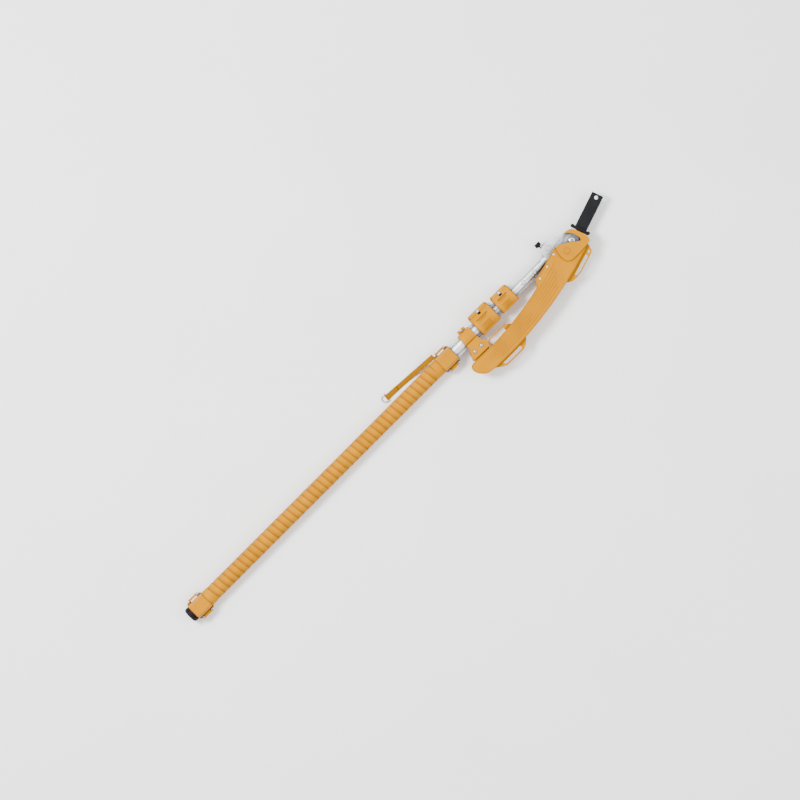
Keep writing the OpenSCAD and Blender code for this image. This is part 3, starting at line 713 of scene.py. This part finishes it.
def make_lever_bars(lever, name):
    """Raised bars along the lever's two shallow panels, where a thumb takes hold."""
    low, high = node_box(lever)
    r = high[2] - BAR_SINK
    length = high[0] - low[0]
    radius = [0.45] + [0.7] * 5 + [0.45]
    mesh_data = bmesh.new()
    for start, stop in BAR_PANELS:
        for degrees in range(start, stop + 1, BAR_STEP):
            y, z = r * math.sin(math.radians(degrees)), r * math.cos(math.radians(degrees))
            path = [(low[0] + length * (0.26 + 0.07 * k), y, z) for k in range(7)]
            tube_along(mesh_data, path, radius, 8)
    piece_from(mesh_data, name, "orange_lever", lever)


make_lever_bars("lower_lever", "lower_lever_bars")
make_lever_bars("upper_lever", "upper_lever_bars")


# ---- coil springs ----

COIL_STEPS = 20


def make_coil(name, node, axis, turns, wire, seat):
    """A round-wire coil in the place of its CAD sleeve.

    Its anchor at the low end (seat 0) or high end (seat 1) is worked out but not used.
    """
    low, high = (Vector(v) for v in node_box(node))
    centre = (low + high) / 2
    size = high - low
    span = size[axis] - 2 * wire
    across = size[(axis + 1) % 3] / 2 - wire
    steps = turns * COIL_STEPS
    path = []
    for k in range(steps + 1):
        a = 2 * math.pi * k / COIL_STEPS
        p = Vector((0, 0, 0))
        p[axis] = -span / 2 + span * k / steps
        p[(axis + 1) % 3] = across * math.cos(a)
        p[(axis + 2) % 3] = across * math.sin(a)
        path.append(centre + p)
    up = Vector((0, 0, 0))
    up[axis] = 1
    mesh_data = bmesh.new()
    tube_along(mesh_data, path, wire, 8, up=up)
    coil = piece_from(mesh_data, name, "spring_steel", "tip")
    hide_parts(node)
    anchor = Vector(centre)
    anchor[axis] = (low, high)[seat][axis]
    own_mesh(coil)


make_coil("plunger_coil", "plunger_spring", 1, 6, 0.3, 1)
make_coil("button_coil", "button_spring", 2, 3, 0.17, 0)


# ---- finishes on the CAD parts ----

# width of the rounded edges by material, in millimetres
BEVELS = {"orange_shell": 0.9, "orange_lever": 0.9, "cast_alloy": 1.1, "black_plastic": 0.5}
BEVEL_SEGMENTS = 3
BEVEL_ANGLE = math.radians(38)
FLAT_ANGLE = math.radians(0.6)
WELD_REACH = 0.004
SHARP_NODES = ("tab_flange",)


def finish_cad_parts():
    """Every CAD node gets its own material, and the moulded and cast ones get rounded edges."""
    slots = {s["node"]: s["material_slot"] for s in frame["record"]["subparts"]}
    for name, part in frame["nodes"].items():
        part.data.materials.clear()
        part.data.materials.append(looks[slots[name]])
        width = BEVELS.get(slots[name])
        if width is None or name in SHARP_NODES:
            continue
        weld = part.modifiers.new("weld", "WELD")
        weld.merge_threshold = WELD_REACH * MM
        flat = part.modifiers.new("flats", "DECIMATE")
        flat.decimate_type = "DISSOLVE"
        flat.angle_limit = FLAT_ANGLE
        bevel = part.modifiers.new("soft_edges", "BEVEL")
        bevel.width = width * MM
        bevel.segments = BEVEL_SEGMENTS
        bevel.limit_method = "ANGLE"
        bevel.angle_limit = BEVEL_ANGLE
        bevel.use_clamp_overlap = True
        bevel.harden_normals = True


finish_cad_parts()


# ---- floor and light ----

FLOOR_HALF = 40.0
FLOOR_GAP = 0.0002


def make_floor():
    """A pale floor just under the lowest part of the tool."""
    mesh = bpy.data.meshes.new("floor")
    half, z = FLOOR_HALF, FLOOR_Z * MM - FLOOR_GAP
    corners = [(-half, -half, z), (half, -half, z), (half, half, z), (-half, half, z)]
    mesh.from_pydata(corners, [], [(0, 1, 2, 3)])
    floor = bpy.data.objects.new("floor", mesh)
    bpy.context.scene.collection.objects.link(floor)
    look = Look("floor", 0.9)
    look.colour(look.noise(3.0), (0.93, 0.93, 0.93), (0.96, 0.96, 0.96))
    mesh.materials.append(look.material)


def area_light(name, at, size, power):
    """A round lamp that faces the middle of the tool."""
    data = bpy.data.lights.new(name, "AREA")
    data.shape = "DISK"
    data.size = size
    data.energy = power
    light = bpy.data.objects.new(name, data)
    light.location = at
    light.rotation_mode = "QUATERNION"
    light.rotation_quaternion = (Vector(at) - VIEW_CENTRE).to_track_quat("Z", "Y")
    bpy.context.scene.collection.objects.link(light)


HORIZON = (0.10, 0.10, 0.11)
HORIZON_AT = 0.12
ZENITH = (1.0, 1.0, 1.0)
ZENITH_AT = 0.8
SKY_STRENGTH = 1.8
# place, size and power of each lamp
LAMPS = {
    "key": ((-0.2, 1.8, 3.0), 1.2, 235.0),
    "fill": ((2.0, -1.6, 2.4), 2.0, 45.0),
}


def make_light():
    """A sky that is dark low down and white overhead, with two large soft lamps."""
    world = bpy.data.worlds.new("studio")
    bpy.context.scene.world = world
    world.use_nodes = True
    tree = world.node_tree
    background = tree.nodes["Background"]
    place = tree.nodes.new("ShaderNodeTexCoord")
    split = tree.nodes.new("ShaderNodeSeparateXYZ")
    ramp = tree.nodes.new("ShaderNodeValToRGB")
    ramp.color_ramp.elements[0].position = HORIZON_AT
    ramp.color_ramp.elements[0].color = (*HORIZON, 1)
    ramp.color_ramp.elements[1].position = ZENITH_AT
    ramp.color_ramp.elements[1].color = (*ZENITH, 1)
    tree.links.new(place.outputs["Generated"], split.inputs["Vector"])
    tree.links.new(split.outputs["Z"], ramp.inputs["Fac"])
    tree.links.new(ramp.outputs["Color"], background.inputs["Color"])
    background.inputs["Strength"].default_value = SKY_STRENGTH
    for name, (at, size, power) in LAMPS.items():
        area_light(name, at, size, power)


make_floor()
make_light()
